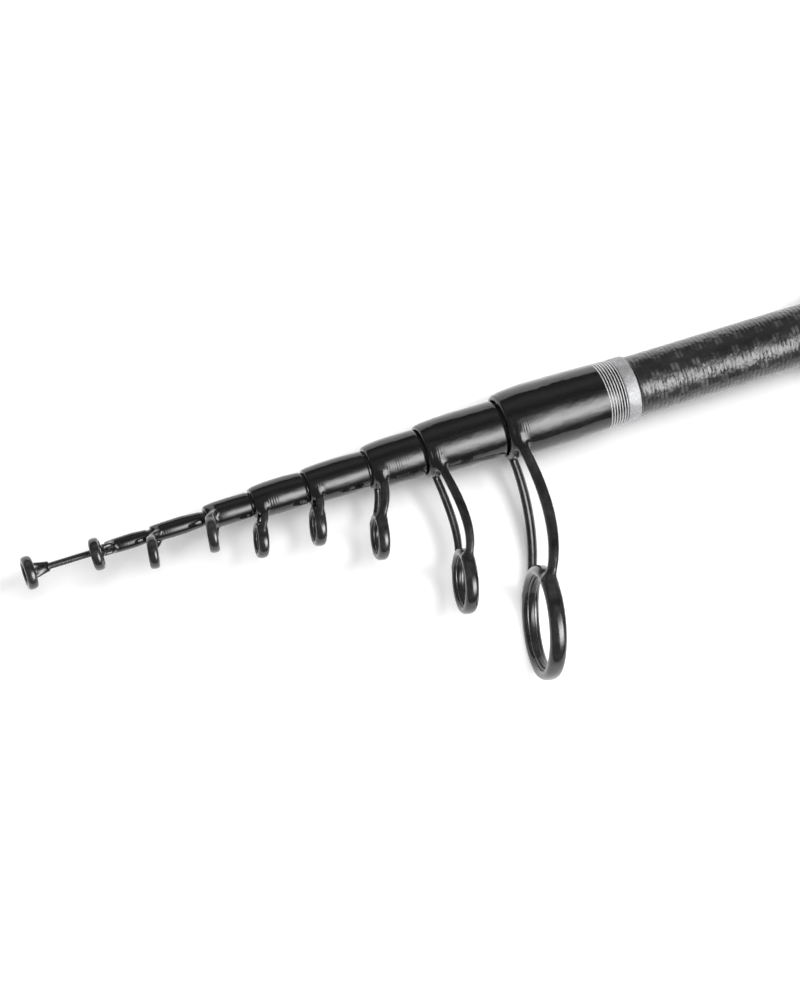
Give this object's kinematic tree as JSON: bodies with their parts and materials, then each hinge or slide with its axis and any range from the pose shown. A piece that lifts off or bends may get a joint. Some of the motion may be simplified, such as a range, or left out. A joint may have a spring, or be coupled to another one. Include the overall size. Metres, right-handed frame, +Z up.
{
  "type": "telescopic fishing rod",
  "caption": "Telescopic fishing rod pushed closed: nested carbon sections with ring guides, black lacquered sleeves, reel seat and foam grips.",
  "frame": {"origin": "middle of the butt cap's end face", "axes": "the rod lies along X with its tip towards -X, the reel seat and the large guides face -Y, +Z is up when the rod lies on a table"},
  "size_m": [0.4362, 0.0744, 0.0279],
  "materials": {
    "carbon": "woven carbon fibre under clear lacquer",
    "black_lacquer": "thick glossy black lacquer over thread",
    "guide_metal": "glossy black plated steel",
    "guide_ceramic": "polished dark ceramic",
    "silver_thread": "silver thread and foil under clear lacquer",
    "satin_aluminium": "satin turned aluminium",
    "grip_foam": "matt closed-cell foam",
    "seat_plastic": "satin moulded plastic",
    "cap_rubber": "matt rubber"
  },
  "bodies": {
    "butt": {"butt_blank": "carbon", "butt_wrap": "black_lacquer", "silver_winding": "silver_thread", "silver_band": "silver_thread", "guide_9_frame": "guide_metal", "guide_9_insert": "guide_ceramic", "butt_ferrule": "satin_aluminium", "rear_grip": "grip_foam", "rear_winding_check": "satin_aluminium", "fore_grip": "grip_foam", "front_winding_check": "satin_aluminium", "reel_seat_body": "seat_plastic", "fixed_hood": "satin_aluminium"},
    "butt_cap": {"butt_cap": "cap_rubber", "cap_cushion": "cap_rubber"},
    "sliding_hood": {"sliding_hood": "satin_aluminium"},
    "lock_nut": {"lock_nut": "satin_aluminium"},
    "section_8": {"section_8_blank": "carbon", "section_8_wrap": "black_lacquer", "guide_8_frame": "guide_metal", "guide_8_insert": "guide_ceramic"},
    "section_7": {"section_7_blank": "carbon", "section_7_wrap": "black_lacquer", "guide_7_frame": "guide_metal", "guide_7_insert": "guide_ceramic"},
    "section_6": {"section_6_blank": "carbon", "section_6_wrap": "black_lacquer", "guide_6_frame": "guide_metal", "guide_6_insert": "guide_ceramic"},
    "section_5": {"section_5_blank": "carbon", "section_5_wrap": "black_lacquer", "guide_5_frame": "guide_metal", "guide_5_insert": "guide_ceramic"},
    "section_4": {"section_4_blank": "carbon", "section_4_wrap": "black_lacquer", "guide_4_frame": "guide_metal", "guide_4_insert": "guide_ceramic"},
    "section_3": {"section_3_blank": "carbon", "section_3_wrap": "black_lacquer", "guide_3_frame": "guide_metal", "guide_3_insert": "guide_ceramic"},
    "section_2": {"section_2_blank": "carbon", "section_2_wrap": "black_lacquer", "guide_2_frame": "guide_metal", "guide_2_insert": "guide_ceramic"},
    "section_1": {"section_1_blank": "carbon", "tip_top_frame": "guide_metal", "tip_top_insert": "guide_ceramic"}
  },
  "joints": [
    {"name": "section_8_slide", "type": "slide", "parent": "butt", "child": "section_8", "axis": [-1, 0, 0], "range_m": [0, 0.277]},
    {"name": "section_7_slide", "type": "slide", "parent": "section_8", "child": "section_7", "axis": [-1, 0, 0], "range_m": [0, 0.2977]},
    {"name": "section_6_slide", "type": "slide", "parent": "section_7", "child": "section_6", "axis": [-1, 0, 0], "range_m": [0, 0.3117]},
    {"name": "section_5_slide", "type": "slide", "parent": "section_6", "child": "section_5", "axis": [-1, 0, 0], "range_m": [0, 0.3274]},
    {"name": "section_4_slide", "type": "slide", "parent": "section_5", "child": "section_4", "axis": [-1, 0, 0], "range_m": [0, 0.3411]},
    {"name": "section_3_slide", "type": "slide", "parent": "section_4", "child": "section_3", "axis": [-1, 0, 0], "range_m": [0, 0.3527]},
    {"name": "section_2_slide", "type": "slide", "parent": "section_3", "child": "section_2", "axis": [-1, 0, 0], "range_m": [0, 0.3662]},
    {"name": "section_1_slide", "type": "slide", "parent": "section_2", "child": "section_1", "axis": [-1, 0, 0], "range_m": [0, 0.3775]},
    {"name": "hood_slide", "type": "slide", "parent": "butt", "child": "sliding_hood", "axis": [-1, 0, 0], "range_m": [-0.02, 0.012]},
    {"name": "nut_turn", "type": "hinge", "parent": "sliding_hood", "child": "lock_nut", "pos_m": [-0.1903, 0, 0], "axis": [-1, 0, 0], "range_deg": [-3600, 2160]},
    {"name": "butt_cap_draw", "type": "slide", "parent": "butt", "child": "butt_cap", "axis": [1, 0, 0], "range_m": [0, 0.03]}
  ],
  "couplings": [
    {"joint": "hood_slide", "follows": "nut_turn", "m_per_rad": 0.00031831}
  ]
}
